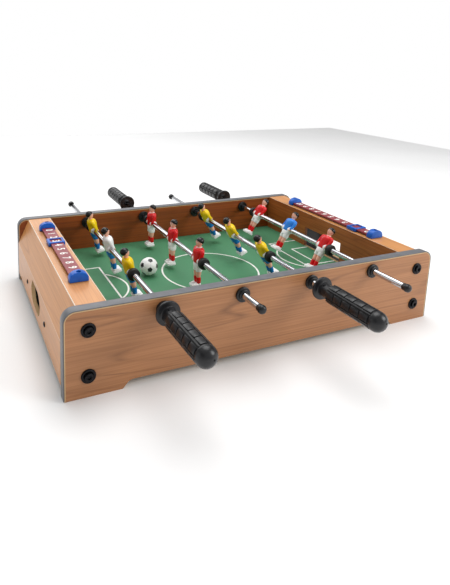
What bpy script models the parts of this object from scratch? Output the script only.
"""Tabletop football table: a folded board box, four sliding and spinning rods, twelve players and a ball.

Sizes are in metres. +X runs along the table, +Y towards its back, +Z up.
Every size that can be set by itself has one named value below, and what fits to it is worked out from it.
"""
import bmesh
import bpy
import math
from mathutils import Matrix, Vector

# Body
BODY_LENGTH = 0.510
BODY_WIDTH = 0.336
BODY_HEIGHT = 0.098
PANEL_THICKNESS = 0.012
PANEL_CORNER_RADIUS = 0.013
BAND_THICKNESS = 0.001
BAND_LIFT = 0.0006
FOOT_LENGTH = 0.062
FOOT_RECESS_HEIGHT = 0.009
FOOT_FILLET = 0.0085
FOOT_TOE_RADIUS = 0.003
FOOT_SLOPE = 50

# Ends
BOARD_THICKNESS = 0.005
BOARD_TOP_DROP = 0.001
END_DEPTH = 0.049
BEVEL_RUN = 0.016
BEVEL_FOOT_HEIGHT = 0.0615
BOARD_GROUND_GAP = 0.012
GOAL_WIDTH = 0.087
GOAL_HEIGHT = 0.0325
RETURN_HOLE_WIDTH = 0.065
RETURN_HOLE_HEIGHT = 0.032
RETURN_HOLE_CENTRE_HEIGHT = 0.039
GOAL_BOX_WALL = 0.002
GOAL_BOX_EAR = 0.026
GOAL_BOX_EAR_HEIGHT = 0.013
EAR_SCREW_REACH = 0.0195

# Playing field
FIELD_HEIGHT = 0.0395
FIELD_THICKNESS = 0.003
FIELD_GROOVE_DEPTH = 0.004

# Holes for the bolts and screws
BOLT_INSET = 0.026
BOLT_HEIGHTS = (0.024, 0.075)
BOLT_RADIUS = 0.0025
SCREW_RADIUS = 0.0015
SCREW_HEAD_RADIUS = 0.0027
EAR_SCREW_HEIGHT = 0.035
BRACKET_SCREW_DEPTH = 0.0038

# Score counters
SCORE_SPAN = 0.191
BRACKET_WIDTH = 0.0222
BRACKET_HEIGHT = 0.0118
BRACKET_DEPTH = 0.010
BRACKET_SHOULDER = 0.003
BRACKET_SCREW_INSET = 0.0065
STRIP_WIDTH = 0.016
STRIP_THICKNESS = 0.002
STRIP_LIFT = 0.0024
STRIP_GRIP = 0.0030
SCORE_INSET_FROM_GOAL = 0.0155
SLIDER_LENGTH = 0.019
SLIDER_WIDTH = 0.022
SLIDER_FLOOR = 0.0015
SLIDER_ROOF = 0.0012
SLIDER_WINDOW_MARGIN = 0.0032
LEFT_SCORE_FROM_MIDDLE = 0.0326
RIGHT_SCORE_FROM_MIDDLE = -0.058

# Rods and what rides on them
ROD_SPACING = 0.098
ROD_HEIGHT = 0.084
ROD_RADIUS = 0.00375
PLAYER_END_SPARE = 0.054
FLANGE_STAND_OFF = 0.041
CAP_STAND_OFF = 0.0655
BUSHING_BARREL_RADIUS = 0.006
BUSHING_FLANGE_RADIUS = 0.009
BUSHING_FLANGE_THICKNESS = 0.003
BUSHING_COLLAR_RADIUS = 0.0065
BUSHING_COLLAR_HEIGHT = 0.002
LOCK_RING_THICKNESS = 0.003
BUMPER_RADIUS = 0.0078
BUMPER_THICKNESS = 0.007
HANDLE_LENGTH = 0.099
HANDLE_FLANGE_RADIUS = 0.014
HANDLE_FLANGE_THICKNESS = 0.003
HANDLE_NECK_RADIUS = 0.008
HANDLE_NECK_LENGTH = 0.011
HANDLE_GRIP_RADIUS = 0.0115
HANDLE_GROOVE_DEPTH = 0.0012
HANDLE_RINGS = 5
HANDLE_DOME = 0.0105
HANDLE_GROOVE_LENGTH = 0.0023
HANDLE_BORE_DEPTH = 0.060
CAP_RADIUS = 0.0051
CAP_LENGTH = 0.0105
CAP_FLOOR = 0.003
CAP_CHAMFER = 0.0018

# Players, from the rod's axis
FOOT_SWEEP = 0.039
BOOT_FRONT = 0.0082
BOOT_BACK = 0.0045
BOOT_HEIGHT = 0.0052
BOOT_HALF_WIDTH = 0.0073
HEAD_TOP = 0.0302
HEAD_HALF_HEIGHT = 0.0058
SHOULDER_HEIGHT = 0.0172
SHOULDER_HALF_WIDTH = 0.0105
ARM_REACH = 0.012
SHORTS_LENGTH = 0.0145
HUB_RADIUS = 0.0062
HUB_HALF_LENGTH = 0.0102
WAIST_HEIGHT = -0.003
WAIST_HALF_WIDTH = 0.0082
TORSO_SQUASH = 0.6
SHORTS_OVERLAP = 0.002
SHORTS_HALF_WIDTH = 0.0077
SHORTS_TOP_HALF_WIDTH = 0.0075
SHORTS_SQUASH = 0.72
HEAD_HALF_DEPTH = 0.0049
HEAD_HALF_WIDTH = 0.0046
NECK_RADIUS = 0.003
NECK_LENGTH = 0.007
ARM_HALF_DEPTH = 0.0034
ARM_HALF_WIDTH = 0.0026
ARM_HALF_LENGTH = 0.008
LEG_FROM_MIDDLE = 0.0039
LEG_RADIUS = 0.0028
LEG_OVERLAP = 0.001

# Ball
BALL_RADIUS = 0.013
BALL_FROM_ROD = 0.0430
BALL_FROM_MIDDLE = 0.017

# Clearances
SEAT_GAP = 0.0003
BORE_GAP = 0.0004
BARREL_GAP = 0.0005
BUMPER_GAP = 0.0005

# How far a cutter reaches past the wall that it cuts, and how near two points are one
OVERCUT = 0.002
WELD_REACH = 0.00001

# Rest pose: middle of the three players along Y, tilt of the players, side that the handle is on
ROD_REST = (
    {"middle": 0.030, "tilt": -14.0, "handle": -1},
    {"middle": 0.031, "tilt": 2.0, "handle": 1},
    {"middle": 0.022, "tilt": -27.0, "handle": -1},
    {"middle": 0.014, "tilt": 31.0, "handle": 1},
)
TEAM_FACING = (0.0, 180.0, 0.0, 180.0)
JERSEYS = (
    ("yellow", "white", "yellow"),
    ("red", "red", "red"),
    ("yellow", "yellow", "yellow"),
    ("red", "blue", "red"),
)

# Facets
ROD_SIDES = 16
SMALL_SIDES = 12
CORNER_STEPS = 5
HOLE_STEPS = 8
ARCH_STEPS = 8
TORSO_SIDES = 10
LIMB_SIDES = 8
LEG_SIDES = 6
BALL_SIDES = 16
BALL_RINGS = 10
DOME_STEP = 30

# Worked out from the sizes above
HALF_LENGTH = BODY_LENGTH / 2
HALF_WIDTH = BODY_WIDTH / 2
PANEL_INNER_Y = HALF_WIDTH - PANEL_THICKNESS
PLAYER_SPACING = (2 * PANEL_INNER_Y - PLAYER_END_SPARE) / 3
FLANGE_FROM_MIDDLE = HALF_WIDTH + FLANGE_STAND_OFF
CAP_FROM_MIDDLE = HALF_WIDTH + CAP_STAND_OFF
PANEL_INSET = BAND_THICKNESS + SEAT_GAP
GOAL_WALL_X = HALF_LENGTH - END_DEPTH
BOARD_TOP = BODY_HEIGHT - BOARD_TOP_DROP
BOARD_HALF_WIDTH = PANEL_INNER_Y - SEAT_GAP
BORE_RADIUS = ROD_RADIUS + BORE_GAP
ROD_XS = tuple(ROD_SPACING * (i - 1.5) for i in range(4))
SCORE_X = GOAL_WALL_X + SCORE_INSET_FROM_GOAL
BRACKET_INNER_Y = (SCORE_SPAN - BRACKET_DEPTH) / 2
BRACKET_SCREW_Y = BRACKET_INNER_Y + BRACKET_SCREW_INSET
STRIP_BOTTOM = BOARD_TOP + STRIP_LIFT
STRIP_TOP = STRIP_BOTTOM + STRIP_THICKNESS
EAR_SCREW_Y = GOAL_WIDTH / 2 + GOAL_BOX_WALL + EAR_SCREW_REACH
BUMPER_FROM_MIDDLE = PLAYER_SPACING + ARM_REACH + BUMPER_GAP + BUMPER_THICKNESS / 2
BALL_X = ROD_XS[1] - BALL_FROM_ROD
HANDLE_TIP = FLANGE_FROM_MIDDLE + HANDLE_LENGTH
FRONT_TIP = min(rest["middle"] - HANDLE_TIP for rest in ROD_REST if rest["handle"] < 0)
BACK_TIP = max(rest["middle"] + HANDLE_TIP for rest in ROD_REST if rest["handle"] > 0)
ORIGIN_Y = -(FRONT_TIP + BACK_TIP) / 2

for old in list(bpy.data.objects):
    bpy.data.objects.remove(old, do_unlink=True)

parts = bpy.data.collections.new("foosball_table")
cutters = bpy.data.collections.new("cutters")
bpy.context.scene.collection.children.link(parts)
bpy.context.scene.collection.children.link(cutters)


def material(name, colour, roughness, metallic=0.0):
    made = bpy.data.materials.new(name)
    made.use_nodes = True
    shader = made.node_tree.nodes["Principled BSDF"]
    shader.inputs["Base Color"].default_value = (*colour, 1.0)
    shader.inputs["Roughness"].default_value = roughness
    shader.inputs["Metallic"].default_value = metallic
    return made


WALNUT_FOIL = material("walnut_foil", (0.36, 0.17, 0.08), 0.5)
GREY_BAND = material("grey_band", (0.16, 0.16, 0.17), 0.4)
BEECH_FOIL = material("beech_foil", (0.62, 0.36, 0.17), 0.45)
DARK_FOIL = material("dark_foil", (0.17, 0.06, 0.02), 0.5)
GREEN_FIELD = material("green_field", (0.05, 0.2, 0.1), 0.55)
BLACK_PLASTIC = material("black_plastic", (0.01, 0.01, 0.01), 0.45)
CHROME = material("chrome", (0.8, 0.8, 0.82), 0.12, 1.0)
RUBBER = material("rubber", (0.015, 0.015, 0.015), 0.7)
BLUE_PLASTIC = material("blue_plastic", (0.02, 0.12, 0.65), 0.35)
MAROON = material("maroon", (0.25, 0.05, 0.05), 0.4)
BALL_WHITE = material("ball_white", (0.85, 0.85, 0.85), 0.4)
JERSEY_COLOURS = {
    "yellow": material("player_yellow", (0.85, 0.7, 0.03), 0.4),
    "white": material("player_white", (0.8, 0.8, 0.8), 0.4),
    "red": material("player_red", (0.6, 0.02, 0.02), 0.4),
    "blue": material("player_blue", (0.03, 0.2, 0.7), 0.4),
}


def empty(name, parent=None, location=(0, 0, 0), tilt=0.0):
    made = bpy.data.objects.new(name, None)
    parts.objects.link(made)
    made.parent = parent
    made.location = location
    made.rotation_euler = (0, math.radians(tilt), 0)
    return made


table_origin = empty("table_origin", location=(0, ORIGIN_Y, 0))


def place(name, mesh, surface, parent=table_origin, location=(0, 0, 0), turn=0.0):
    """Puts a mesh in the parts collection as a named piece; turn is about Z, in degrees."""
    mesh.materials.clear()
    mesh.materials.append(surface)
    made = bpy.data.objects.new(name, mesh)
    parts.objects.link(made)
    made.parent = parent
    made.location = location
    made.rotation_euler = (0, 0, math.radians(turn))
    return made


def cutter(name, mesh):
    made = bpy.data.objects.new(name, mesh)
    cutters.objects.link(made)
    made.parent = table_origin
    made.hide_render = True
    made.display_type = "WIRE"
    return made


def boolean(target, tool, operation="DIFFERENCE"):
    step = target.modifiers.new(tool.name, "BOOLEAN")
    step.operation = operation
    step.solver = "EXACT"
    step.object = tool


def evaluated_mesh(thing, name):
    """A mesh of the object with its modifiers or its curve fill applied; the object is removed."""
    graph = bpy.context.evaluated_depsgraph_get()
    made = bpy.data.meshes.new_from_object(thing.evaluated_get(graph))
    made.name = name
    bpy.data.objects.remove(thing, do_unlink=True)
    return made


def mesh_from(name, shapes):
    """One mesh of boxes, cylinders and spheres, each a closed body of its own."""
    bm = bmesh.new()
    for shape in shapes:
        shape(bm)
    mesh = bpy.data.meshes.new(name)
    bm.to_mesh(mesh)
    bm.free()
    return mesh


def box(low, high):
    size = Vector(high) - Vector(low)
    middle = (Vector(high) + Vector(low)) / 2
    matrix = Matrix.Translation(middle) @ Matrix.Diagonal((*size, 1))
    return lambda bm: bmesh.ops.create_cube(bm, size=1.0, matrix=matrix)


ALONG = {
    "X": Matrix.Rotation(math.radians(90), 4, "Y"),
    "Y": Matrix.Rotation(math.radians(-90), 4, "X"),
    "Z": Matrix.Identity(4),
}


def cylinder(axis, middle, radius, length, sides, end_radius=None, squash=1.0):
    """A cylinder or cone along an axis; squash scales a vertical one along X."""
    matrix = Matrix.Translation(middle) @ Matrix.Diagonal((squash, 1, 1, 1)) @ ALONG[axis]
    top = radius if end_radius is None else end_radius
    return lambda bm: bmesh.ops.create_cone(
        bm, cap_ends=True, segments=sides, radius1=radius, radius2=top, depth=length, matrix=matrix
    )


def ball_shape(middle, half_sizes, around, rings):
    matrix = Matrix.Translation(middle) @ Matrix.Diagonal((*half_sizes, 1))
    return lambda bm: bmesh.ops.create_uvsphere(
        bm, u_segments=around, v_segments=rings, radius=1.0, matrix=matrix
    )


PLANES = {
    "XZ": Matrix.Rotation(math.radians(90), 4, "X"),
    "YZ": Matrix.Rotation(math.radians(90), 4, "Z") @ Matrix.Rotation(math.radians(90), 4, "X"),
}


def slab(name, outline, thickness, plane, middle=(0, 0, 0)):
    """A flat outline filled and thickened evenly to both sides of its plane."""
    curve = bpy.data.curves.new(name, "CURVE")
    curve.dimensions = "2D"
    curve.fill_mode = "BOTH"
    curve.extrude = thickness / 2
    spline = curve.splines.new("POLY")
    spline.points.add(len(outline) - 1)
    for point, (u, v) in zip(spline.points, outline):
        point.co = (u, v, 0, 1)
    spline.use_cyclic_u = True
    thing = bpy.data.objects.new(name, curve)
    cutters.objects.link(thing)
    mesh = evaluated_mesh(thing, name)
    bm = bmesh.new()
    bm.from_mesh(mesh)
    bmesh.ops.remove_doubles(bm, verts=bm.verts, dist=WELD_REACH)
    bmesh.ops.recalc_face_normals(bm, faces=bm.faces)
    bm.transform(Matrix.Translation(middle) @ PLANES[plane])
    bm.to_mesh(mesh)
    bm.free()
    return mesh


def turned(name, profile, sides, ring=True):
    """Profile points (radius, height) turned about Z, given down the outer side from the top."""
    mesh = bpy.data.meshes.new(name)
    edges = [(i, i + 1) for i in range(len(profile) - 1)]
    if ring:
        edges.append((len(profile) - 1, 0))
    mesh.from_pydata([(r, 0, h) for r, h in profile], edges, [])
    thing = bpy.data.objects.new(name, mesh)
    cutters.objects.link(thing)
    screw = thing.modifiers.new("turn", "SCREW")
    screw.axis = "Z"
    screw.steps = sides
    screw.render_steps = sides
    screw.use_merge_vertices = True
    screw.merge_threshold = 0.00001
    made = evaluated_mesh(thing, name)
    smooth(made)
    return made


def smooth(mesh, angle=35):
    mesh.shade_smooth()
    mesh.set_sharp_from_angle(angle=math.radians(angle))


def moved(mesh, matrix):
    """A copy of a mesh, moved."""
    made = mesh.copy()
    made.transform(matrix)
    return made


def arc(centre, radius, start, stop, steps=CORNER_STEPS):
    angles = [math.radians(start + (stop - start) * i / steps) for i in range(steps + 1)]
    return [(centre[0] + radius * math.cos(a), centre[1] + radius * math.sin(a)) for a in angles]


def towards(side):
    """Turns a shape that points up so that it points along +Y or -Y, its own +Y side ending on top."""
    if side > 0:
        return Matrix.Rotation(math.radians(-90), 4, "X") @ Matrix.Rotation(math.radians(180), 4, "Z")
    return Matrix.Rotation(math.radians(90), 4, "X")


# Side panels, with rounded top corners and a foot at each end


def top_corners(inset):
    """The panel's upper outline, from its right end over the top to its left end, moved in by inset."""
    radius = PANEL_CORNER_RADIUS - inset
    middle_x = HALF_LENGTH - PANEL_CORNER_RADIUS
    middle_z = BODY_HEIGHT - PANEL_CORNER_RADIUS
    return arc((middle_x, middle_z), radius, 0, 90) + arc((-middle_x, middle_z), radius, 90, 180)


def foot_curve():
    """From the sole of the left foot up to the recess: a small round, a slope and a wide round."""
    foot = HALF_LENGTH - FOOT_LENGTH
    slope = math.radians(FOOT_SLOPE)
    toe = arc((-foot, FOOT_TOE_RADIUS), FOOT_TOE_RADIUS, -90, FOOT_SLOPE - 90)
    fillet_z = FOOT_RECESS_HEIGHT - FOOT_FILLET
    rise = fillet_z + FOOT_FILLET * math.cos(slope) - toe[-1][1]
    fillet_x = toe[-1][0] + rise / math.tan(slope) + FOOT_FILLET * math.sin(slope)
    return toe + arc((fillet_x, fillet_z), FOOT_FILLET, 90 + FOOT_SLOPE, 90)


def panel_outline():
    end = HALF_LENGTH - PANEL_INSET
    left = foot_curve()
    right = [(-x, z) for x, z in reversed(left)]
    return [(-end, 0)] + left + right + [(end, 0)] + top_corners(PANEL_INSET)


def band_outline():
    outer = [(HALF_LENGTH, BAND_LIFT)] + top_corners(0) + [(-HALF_LENGTH, BAND_LIFT)]
    inner_end = HALF_LENGTH - BAND_THICKNESS
    inner = [(inner_end, BAND_LIFT)] + top_corners(BAND_THICKNESS) + [(-inner_end, BAND_LIFT)]
    return outer + inner[::-1]


def make_sides():
    hole = BUSHING_BARREL_RADIUS + BARREL_GAP
    bolt_hole = BOLT_RADIUS + BORE_GAP
    for name, side in (("front", -1), ("back", 1)):
        middle_y = side * (HALF_WIDTH - PANEL_THICKNESS / 2)
        place_at = (0, middle_y, 0)
        panel_mesh = slab(f"{name}_side_panel", panel_outline(), PANEL_THICKNESS, "XZ", place_at)
        panel = place(f"{name}_side_panel", panel_mesh, WALNUT_FOIL)
        through = PANEL_THICKNESS * 2
        shapes = [cylinder("Y", (x, middle_y, ROD_HEIGHT), hole, through, ROD_SIDES) for x in ROD_XS]
        for x in (-HALF_LENGTH + BOLT_INSET, HALF_LENGTH - BOLT_INSET):
            for z in BOLT_HEIGHTS:
                shapes.append(cylinder("Y", (x, middle_y, z), bolt_hole, through, SMALL_SIDES))
        groove_x = GOAL_WALL_X + SEAT_GAP
        groove_low = FIELD_HEIGHT - FIELD_THICKNESS - SEAT_GAP
        groove_ys = sorted((side * (PANEL_INNER_Y - OVERCUT), side * (PANEL_INNER_Y + FIELD_GROOVE_DEPTH)))
        low = (-groove_x, groove_ys[0], groove_low)
        high = (groove_x, groove_ys[1], FIELD_HEIGHT + SEAT_GAP)
        shapes.append(box(low, high))
        boolean(panel, cutter(f"{name}_side_holes", mesh_from(f"{name}_side_holes", shapes)))
        band_mesh = slab(f"{name}_edge_band", band_outline(), PANEL_THICKNESS, "XZ", place_at)
        smooth(band_mesh)
        place(f"{name}_edge_band", band_mesh, GREY_BAND)


# Ends: an outer board folded over the top, a goal wall mitred to it, and a goal box between them


def fold_inner(before, corner, after):
    """The inner corner of a fold: both neighbouring faces moved in by the board's thickness."""
    first = (Vector(corner) - Vector(before)).normalized()
    second = (Vector(after) - Vector(corner)).normalized()
    first_normal = Vector((-first.y, first.x))
    second_normal = Vector((-second.y, second.x))
    bisector = (first_normal + second_normal).normalized()
    return tuple(Vector(corner) + bisector * (BOARD_THICKNESS / bisector.dot(first_normal)))


def end_outline():
    """The folded board's section for the left end, from the mitre over the bevel to its lower edge."""
    mitre_gap = SEAT_GAP * math.sqrt(2)
    top = (-GOAL_WALL_X - mitre_gap, BOARD_TOP)
    upper_fold = (-HALF_LENGTH + BEVEL_RUN, BOARD_TOP)
    lower_fold = (-HALF_LENGTH, BEVEL_FOOT_HEIGHT)
    bottom = (-HALF_LENGTH, BOARD_GROUND_GAP)
    inner_upper = fold_inner(top, upper_fold, lower_fold)
    inner_lower = fold_inner(upper_fold, lower_fold, bottom)
    inner_bottom = (bottom[0] + BOARD_THICKNESS, bottom[1])
    inner_top = (top[0] - BOARD_THICKNESS, top[1] - BOARD_THICKNESS)
    return [top, upper_fold, lower_fold, bottom, inner_bottom, inner_lower, inner_upper, inner_top]


def goal_wall_outline():
    face = -GOAL_WALL_X
    back = -GOAL_WALL_X - BOARD_THICKNESS
    foot = BOARD_GROUND_GAP
    return [(face, foot), (face, BOARD_TOP), (back, BOARD_TOP - BOARD_THICKNESS), (back, foot)]


def mirrored(outline, side):
    return [(-side * u, v) for u, v in outline]


def return_hole_outline():
    radius = RETURN_HOLE_HEIGHT / 2
    middle = RETURN_HOLE_WIDTH / 2 - radius
    height = RETURN_HOLE_CENTRE_HEIGHT
    return arc((middle, height), radius, -90, 90, HOLE_STEPS) + arc(
        (-middle, height), radius, 90, 270, HOLE_STEPS
    )


def make_ends():
    for name, side in (("left", -1), ("right", 1)):
        cover_mesh = slab(f"{name}_end_cover", mirrored(end_outline(), side), 2 * BOARD_HALF_WIDTH, "XZ")
        cover = place(f"{name}_end_cover", cover_mesh, BEECH_FOIL)
        outer_x = side * (HALF_LENGTH - BOARD_THICKNESS / 2)
        hole_mesh = slab(f"{name}_hole", return_hole_outline(), 3 * BOARD_THICKNESS, "YZ", (outer_x, 0, 0))
        boolean(cover, cutter(f"{name}_return_hole", hole_mesh))
        screw_hole = SCREW_RADIUS + BORE_GAP
        through = 3 * BOARD_THICKNESS
        shapes = []
        for y in (-EAR_SCREW_Y, EAR_SCREW_Y):
            middle = (outer_x, y, EAR_SCREW_HEIGHT)
            shapes.append(cylinder("X", middle, screw_hole, through, SMALL_SIDES))
        for y in (-BRACKET_SCREW_Y, BRACKET_SCREW_Y):
            middle = (side * SCORE_X, y, BOARD_TOP - BOARD_THICKNESS / 2)
            shapes.append(cylinder("Z", middle, screw_hole, through, SMALL_SIDES))
        boolean(cover, cutter(f"{name}_screw_holes", mesh_from(f"{name}_screw_holes", shapes)))

        wall_mesh = slab(
            f"{name}_goal_wall", mirrored(goal_wall_outline(), side), 2 * BOARD_HALF_WIDTH, "XZ"
        )
        wall = place(f"{name}_goal_wall", wall_mesh, DARK_FOIL)
        wall_far = GOAL_WALL_X + BOARD_THICKNESS + OVERCUT
        wall_xs = sorted((side * (GOAL_WALL_X - OVERCUT), side * wall_far))
        low = (wall_xs[0], -GOAL_WIDTH / 2, FIELD_HEIGHT)
        high = (wall_xs[1], GOAL_WIDTH / 2, FIELD_HEIGHT + GOAL_HEIGHT)
        boolean(wall, cutter(f"{name}_goal_mouth", mesh_from(f"{name}_goal_mouth", [box(low, high)])))
        make_goal_box(name, side)


def bevel_x(height, depth):
    """How far from the middle a plane lies that is parallel to the bevel and this deep under it."""
    rise = BOARD_TOP - BEVEL_FOOT_HEIGHT
    slope = BEVEL_RUN / rise
    return HALF_LENGTH - (height - BEVEL_FOOT_HEIGHT) * slope - depth * math.hypot(1, slope)


def bevel_height(x, depth):
    """The height at which that plane is this far from the middle."""
    rise = BOARD_TOP - BEVEL_FOOT_HEIGHT
    slope = BEVEL_RUN / rise
    return BEVEL_FOOT_HEIGHT + (HALF_LENGTH - x - depth * math.hypot(1, slope)) / slope


def make_goal_box(name, side):
    """A sleeve from the goal wall to the return hole, with two ears screwed to the end board."""
    near = GOAL_WALL_X + BOARD_THICKNESS + SEAT_GAP
    far = HALF_LENGTH - BOARD_THICKNESS - SEAT_GAP
    floor = RETURN_HOLE_CENTRE_HEIGHT - RETURN_HOLE_HEIGHT / 2 - SEAT_GAP
    ceiling = FIELD_HEIGHT + GOAL_HEIGHT + SEAT_GAP
    hole_top = RETURN_HOLE_CENTRE_HEIGHT + RETURN_HOLE_HEIGHT / 2 + SEAT_GAP
    half = GOAL_WIDTH / 2 + SEAT_GAP
    wall = GOAL_BOX_WALL
    skin = BOARD_THICKNESS + SEAT_GAP
    shell = [
        (near, floor - wall),
        (far, floor - wall),
        (far, bevel_height(far, skin)),
        (bevel_x(ceiling + wall, skin), ceiling + wall),
        (near, ceiling + wall),
    ]
    hollow = [
        (near - wall, floor),
        (far + wall, floor),
        (far + wall, hole_top),
        (bevel_x(hole_top, skin + wall), hole_top),
        (bevel_x(ceiling, skin + wall), ceiling),
        (near - wall, ceiling),
    ]
    shell_mesh = slab(f"{name}_goal_box", mirrored(shell, -side), 2 * (half + wall), "XZ")
    piece = place(f"{name}_goal_box", shell_mesh, BLACK_PLASTIC)
    ear_xs = sorted((side * (far - wall), side * far))
    ear_half = half + wall + GOAL_BOX_EAR
    ear_low = (ear_xs[0], -ear_half, EAR_SCREW_HEIGHT - GOAL_BOX_EAR_HEIGHT / 2)
    ear_high = (ear_xs[1], ear_half, EAR_SCREW_HEIGHT + GOAL_BOX_EAR_HEIGHT / 2)
    ears = cutter(f"{name}_ears", mesh_from(f"{name}_ears", [box(ear_low, ear_high)]))
    boolean(piece, ears, "UNION")
    hollow_mesh = slab(f"{name}_hollow", mirrored(hollow, -side), 2 * half, "XZ")
    boolean(piece, cutter(f"{name}_hollow", hollow_mesh))
    ear_x = side * (far - wall / 2)
    hole = SCREW_RADIUS + BORE_GAP
    holes = [
        cylinder("X", (ear_x, y, EAR_SCREW_HEIGHT), hole, wall * 3, SMALL_SIDES)
        for y in (-EAR_SCREW_Y, EAR_SCREW_Y)
    ]
    boolean(piece, cutter(f"{name}_ear_holes", mesh_from(f"{name}_ear_holes", holes)))


def make_field():
    half_x = GOAL_WALL_X - SEAT_GAP
    half_y = PANEL_INNER_Y + FIELD_GROOVE_DEPTH - SEAT_GAP
    board = box((-half_x, -half_y, FIELD_HEIGHT - FIELD_THICKNESS), (half_x, half_y, FIELD_HEIGHT))
    place("playfield_board", mesh_from("playfield_board", [board]), GREEN_FIELD)


# Score counters


def bracket_outline():
    """An arch: flat on the board, upright sides, a flattened round top."""
    half = BRACKET_WIDTH / 2
    bottom = BOARD_TOP + SEAT_GAP
    arch = []
    for i in range(ARCH_STEPS + 1):
        angle = math.pi * i / ARCH_STEPS
        rise = (BRACKET_HEIGHT - BRACKET_SHOULDER) * math.sin(angle)
        arch.append((half * math.cos(angle), bottom + BRACKET_SHOULDER + rise))
    return [(half, bottom)] + arch + [(-half, bottom)]


def make_bracket(name, x, end):
    """An arch over one end of the score strip, with a pocket for the strip and a well for its screw."""
    middle = (x, end * (BRACKET_INNER_Y + BRACKET_DEPTH / 2), 0)
    bracket = place(name, slab(name, bracket_outline(), BRACKET_DEPTH, "XZ", middle), BLUE_PLASTIC)
    pocket_half = STRIP_WIDTH / 2 + SEAT_GAP
    pocket_end = BRACKET_INNER_Y + STRIP_GRIP + SEAT_GAP
    pocket_ys = sorted((end * (BRACKET_INNER_Y - OVERCUT), end * pocket_end))
    pocket = box(
        (x - pocket_half, pocket_ys[0], STRIP_BOTTOM - SEAT_GAP),
        (x + pocket_half, pocket_ys[1], STRIP_TOP + SEAT_GAP),
    )
    boolean(bracket, cutter(f"{name}_pocket", mesh_from(f"{name}_pocket", [pocket])))
    shank = (x, end * BRACKET_SCREW_Y, BOARD_TOP)
    hole = cylinder("Z", shank, SCREW_RADIUS + BORE_GAP, 4 * BRACKET_HEIGHT, SMALL_SIDES)
    boolean(bracket, cutter(f"{name}_shank_hole", mesh_from(f"{name}_shank_hole", [hole])))
    seat = BOARD_TOP + SEAT_GAP + BRACKET_HEIGHT - BRACKET_SCREW_DEPTH
    head = (x, end * BRACKET_SCREW_Y, seat + BRACKET_HEIGHT / 2)
    well = cylinder("Z", head, SCREW_HEAD_RADIUS + BORE_GAP, BRACKET_HEIGHT, SMALL_SIDES)
    boolean(bracket, cutter(f"{name}_head_well", mesh_from(f"{name}_head_well", [well])))


def make_slider(name, x, middle_y):
    """A flat sleeve round the score strip, with a window in its roof."""
    tunnel_x = STRIP_WIDTH / 2 + SEAT_GAP
    low_z = STRIP_BOTTOM - SEAT_GAP - SLIDER_FLOOR
    high_z = STRIP_TOP + SEAT_GAP + SLIDER_ROOF
    half_y = SLIDER_LENGTH / 2
    frame = box(
        (x - SLIDER_WIDTH / 2, middle_y - half_y, low_z),
        (x + SLIDER_WIDTH / 2, middle_y + half_y, high_z),
    )
    slider = place(name, mesh_from(name, [frame]), BLUE_PLASTIC)
    tunnel = box(
        (x - tunnel_x, middle_y - 2 * half_y, STRIP_BOTTOM - SEAT_GAP),
        (x + tunnel_x, middle_y + 2 * half_y, STRIP_TOP + SEAT_GAP),
    )
    boolean(slider, cutter(f"{name}_tunnel", mesh_from(f"{name}_tunnel", [tunnel])))
    window_x = SLIDER_WIDTH / 2 - SLIDER_WINDOW_MARGIN
    window_y = half_y - SLIDER_WINDOW_MARGIN
    window = box(
        (x - window_x, middle_y - window_y, STRIP_TOP),
        (x + window_x, middle_y + window_y, high_z + OVERCUT),
    )
    boolean(slider, cutter(f"{name}_window", mesh_from(f"{name}_window", [window])))


def make_scores():
    for name, side, score_y in (
        ("left", -1, LEFT_SCORE_FROM_MIDDLE),
        ("right", 1, RIGHT_SCORE_FROM_MIDDLE),
    ):
        x = side * SCORE_X
        strip_half = BRACKET_INNER_Y + STRIP_GRIP
        low = (x - STRIP_WIDTH / 2, -strip_half, STRIP_BOTTOM)
        high = (x + STRIP_WIDTH / 2, strip_half, STRIP_TOP)
        place(f"{name}_score_strip", mesh_from(f"{name}_score_strip", [box(low, high)]), MAROON)
        make_bracket(f"{name}_score_bracket_front", x, -1)
        make_bracket(f"{name}_score_bracket_back", x, 1)
        make_slider(f"{name}_score_slider", x, score_y)


# Bushings


def make_bushings():
    """A flanged sleeve through each rod hole, held by the lock ring on its inner end."""
    ring_top = -(PANEL_THICKNESS + SEAT_GAP)
    inner_end = ring_top - LOCK_RING_THICKNESS
    flange_top = SEAT_GAP + BUSHING_FLANGE_THICKNESS
    collar_top = flange_top + BUSHING_COLLAR_HEIGHT
    bushing = turned(
        "bushing",
        [
            (BORE_RADIUS, collar_top),
            (BUSHING_COLLAR_RADIUS, collar_top),
            (BUSHING_COLLAR_RADIUS, flange_top),
            (BUSHING_FLANGE_RADIUS, flange_top),
            (BUSHING_FLANGE_RADIUS, SEAT_GAP),
            (BUSHING_BARREL_RADIUS, SEAT_GAP),
            (BUSHING_BARREL_RADIUS, ring_top),
            (BUSHING_FLANGE_RADIUS, ring_top),
            (BUSHING_FLANGE_RADIUS, inner_end),
            (BORE_RADIUS, inner_end),
        ],
        ROD_SIDES,
    )
    for name, side in (("front", -1), ("back", 1)):
        for i, x in enumerate(ROD_XS):
            spot = (x, side * HALF_WIDTH, ROD_HEIGHT)
            place(f"bushing_{i + 1}_{name}", moved(bushing, towards(side)), BLACK_PLASTIC, location=spot)


# Rods, handles, caps and bumpers


def welded(mesh):
    """Merges points that a cut left a hair apart, and drops the empty facets between them."""
    work = bmesh.new()
    work.from_mesh(mesh)
    bmesh.ops.remove_doubles(work, verts=work.verts, dist=WELD_REACH)
    bmesh.ops.dissolve_degenerate(work, edges=work.edges, dist=WELD_REACH)
    work.to_mesh(mesh)
    work.free()
    return mesh


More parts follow.
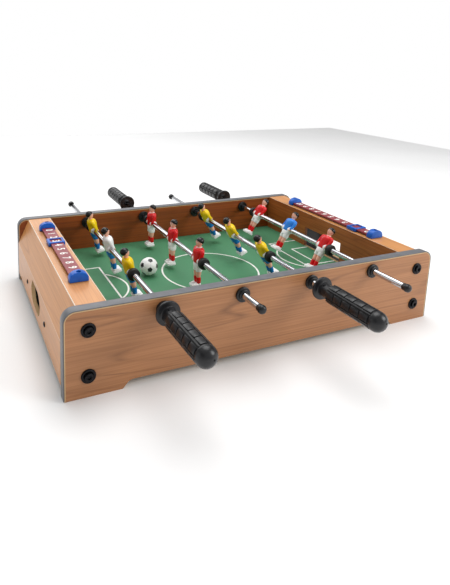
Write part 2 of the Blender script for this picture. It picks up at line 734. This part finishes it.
def handle_shape():
    """The grip pointing up from its flange's inner face, with a blind bore and a screw hole in its neck."""
    neck_top = HANDLE_FLANGE_THICKNESS + HANDLE_NECK_LENGTH
    rib_length = (HANDLE_LENGTH - HANDLE_DOME - neck_top) / HANDLE_RINGS
    valley = HANDLE_GRIP_RADIUS - HANDLE_GROOVE_DEPTH
    profile = [(0, HANDLE_LENGTH)]
    for degrees in (DOME_STEP, 2 * DOME_STEP):
        angle = math.radians(degrees)
        height = HANDLE_LENGTH - HANDLE_DOME * (1 - math.cos(angle))
        profile.append((HANDLE_GRIP_RADIUS * math.sin(angle), height))
    for i in range(HANDLE_RINGS):
        top = HANDLE_LENGTH - HANDLE_DOME - i * rib_length
        profile.append((HANDLE_GRIP_RADIUS, top))
        profile.append((HANDLE_GRIP_RADIUS, top - rib_length + HANDLE_GROOVE_LENGTH))
        profile.append((valley, top - rib_length + HANDLE_GROOVE_LENGTH / 2))
    profile += [
        (HANDLE_NECK_RADIUS, neck_top),
        (HANDLE_NECK_RADIUS, HANDLE_FLANGE_THICKNESS),
        (HANDLE_FLANGE_RADIUS, HANDLE_FLANGE_THICKNESS),
        (HANDLE_FLANGE_RADIUS, 0),
        (BORE_RADIUS, 0),
        (BORE_RADIUS, HANDLE_BORE_DEPTH + SEAT_GAP),
        (0, HANDLE_BORE_DEPTH + SEAT_GAP),
    ]
    grip = bpy.data.objects.new("grip", turned("grip", profile, ROD_SIDES, ring=False))
    cutters.objects.link(grip)
    screw_z = HANDLE_FLANGE_THICKNESS + HANDLE_NECK_LENGTH / 2
    hole_depth = 2 * (HANDLE_NECK_RADIUS - BORE_RADIUS + OVERCUT)
    spot = (0, HANDLE_NECK_RADIUS, screw_z)
    hole = cylinder("Y", spot, SCREW_RADIUS + BORE_GAP, hole_depth, SMALL_SIDES)
    tool = bpy.data.objects.new("grip_hole", mesh_from("grip_hole", [hole]))
    cutters.objects.link(tool)
    boolean(grip, tool)
    made = welded(evaluated_mesh(grip, "handle"))
    bpy.data.objects.remove(tool, do_unlink=True)
    return made


def cap_shape():
    """A rubber cup pointing up from its open face."""
    return turned(
        "end_cap",
        [
            (0, CAP_LENGTH),
            (CAP_RADIUS - CAP_CHAMFER, CAP_LENGTH),
            (CAP_RADIUS, CAP_LENGTH - CAP_CHAMFER),
            (CAP_RADIUS, 0),
            (BORE_RADIUS, 0),
            (BORE_RADIUS, CAP_LENGTH - CAP_FLOOR),
            (0, CAP_LENGTH - CAP_FLOOR),
        ],
        ROD_SIDES,
        ring=False,
    )


def bumper_shape():
    half = BUMPER_THICKNESS / 2
    return turned(
        "bumper",
        [(BORE_RADIUS, half), (BUMPER_RADIUS, half), (BUMPER_RADIUS, -half), (BORE_RADIUS, -half)],
        ROD_SIDES,
    )


def player_shape():
    """A footballer standing on a boot block, facing +X, bored through the waist along Y."""
    sole = -math.sqrt(FOOT_SWEEP**2 - BOOT_FRONT**2)
    boot_top = sole + BOOT_HEIGHT
    torso_length = SHOULDER_HEIGHT - WAIST_HEIGHT
    shorts_top = WAIST_HEIGHT + SHORTS_OVERLAP
    shorts_bottom = -SHORTS_LENGTH
    solids = [
        cylinder(
            "Z",
            (0, 0, WAIST_HEIGHT + torso_length / 2),
            WAIST_HALF_WIDTH,
            torso_length,
            TORSO_SIDES,
            end_radius=SHOULDER_HALF_WIDTH,
            squash=TORSO_SQUASH,
        ),
        ball_shape(
            (0, 0, HEAD_TOP - HEAD_HALF_HEIGHT),
            (HEAD_HALF_DEPTH, HEAD_HALF_WIDTH, HEAD_HALF_HEIGHT),
            LIMB_SIDES,
            LEG_SIDES,
        ),
        cylinder("Z", (0, 0, SHOULDER_HEIGHT), NECK_RADIUS, NECK_LENGTH, LIMB_SIDES),
        cylinder(
            "Z",
            (0, 0, (shorts_top + shorts_bottom) / 2),
            SHORTS_HALF_WIDTH,
            shorts_top - shorts_bottom,
            TORSO_SIDES,
            end_radius=SHORTS_TOP_HALF_WIDTH,
            squash=SHORTS_SQUASH,
        ),
        cylinder("Y", (0, 0, 0), HUB_RADIUS, 2 * HUB_HALF_LENGTH, ROD_SIDES),
        box((-BOOT_BACK, -BOOT_HALF_WIDTH, sole), (BOOT_FRONT, BOOT_HALF_WIDTH, boot_top)),
    ]
    for side in (-1, 1):
        arm = (0, side * (ARM_REACH - ARM_HALF_WIDTH), SHOULDER_HEIGHT / 2)
        half_sizes = (ARM_HALF_DEPTH, ARM_HALF_WIDTH, ARM_HALF_LENGTH)
        solids.append(ball_shape(arm, half_sizes, LIMB_SIDES, LEG_SIDES))
        leg_length = shorts_bottom - boot_top + 2 * LEG_OVERLAP
        leg = (0, side * LEG_FROM_MIDDLE, (shorts_bottom + boot_top) / 2)
        solids.append(cylinder("Z", leg, LEG_RADIUS, leg_length, LEG_SIDES))
    body = bpy.data.objects.new("player", mesh_from("player_torso", solids[:1]))
    cutters.objects.link(body)
    tools = []
    for i, solid in enumerate(solids[1:]):
        tool = bpy.data.objects.new(f"player_piece_{i}", mesh_from(f"player_piece_{i}", [solid]))
        cutters.objects.link(tool)
        boolean(body, tool, "UNION")
        tools.append(tool)
    bore_length = 2 * (ARM_REACH + OVERCUT)
    bore_mesh = mesh_from("player_bore", [cylinder("Y", (0, 0, 0), BORE_RADIUS, bore_length, ROD_SIDES)])
    bore = bpy.data.objects.new("player_bore", bore_mesh)
    cutters.objects.link(bore)
    boolean(body, bore)
    made = evaluated_mesh(body, "player")
    for tool in tools + [bore]:
        bpy.data.objects.remove(tool, do_unlink=True)
    smooth(made)
    return made


def make_rods():
    handle = handle_shape()
    cap = cap_shape()
    bumper = bumper_shape()
    player = player_shape()
    bar_end = FLANGE_FROM_MIDDLE + HANDLE_BORE_DEPTH
    bar_start = -(CAP_FROM_MIDDLE + CAP_LENGTH - CAP_FLOOR - SEAT_GAP)
    for i, rest in enumerate(ROD_REST):
        number = i + 1
        side = rest["handle"]
        at = (ROD_XS[i], rest["middle"], ROD_HEIGHT)
        axis = empty(f"rod_{number}_axis", table_origin, at, rest["tilt"])
        bar_middle = (0, side * (bar_end + bar_start) / 2, 0)
        bar = cylinder("Y", bar_middle, ROD_RADIUS, bar_end - bar_start, ROD_SIDES)
        bar_mesh = mesh_from(f"rod_{number}", [bar])
        smooth(bar_mesh)
        place(f"rod_{number}", bar_mesh, CHROME, axis)
        grip = moved(handle, towards(side))
        place(f"handle_{number}", grip, BLACK_PLASTIC, axis, (0, side * FLANGE_FROM_MIDDLE, 0))
        cup = moved(cap, towards(-side))
        place(f"end_cap_{number}", cup, RUBBER, axis, (0, -side * CAP_FROM_MIDDLE, 0))
        for name, end in (("front", -1), ("back", 1)):
            spot = (0, end * BUMPER_FROM_MIDDLE, 0)
            place(f"bumper_{number}_{name}", moved(bumper, ALONG["Y"]), RUBBER, axis, spot)
        for j, jersey in enumerate(JERSEYS[i]):
            spot = (0, PLAYER_SPACING * (1 - j), 0)
            surface = JERSEY_COLOURS[jersey]
            place(f"player_{number}_{j + 1}", player.copy(), surface, axis, spot, TEAM_FACING[i])


def make_ball():
    height = FIELD_HEIGHT + SEAT_GAP + BALL_RADIUS
    mesh = mesh_from("ball", [ball_shape((0, 0, 0), (BALL_RADIUS,) * 3, BALL_SIDES, BALL_RINGS)])
    smooth(mesh)
    place("ball", mesh, BALL_WHITE, location=(BALL_X, BALL_FROM_MIDDLE, height))


make_sides()
make_ends()
make_field()
make_scores()
make_bushings()
make_rods()
make_ball()
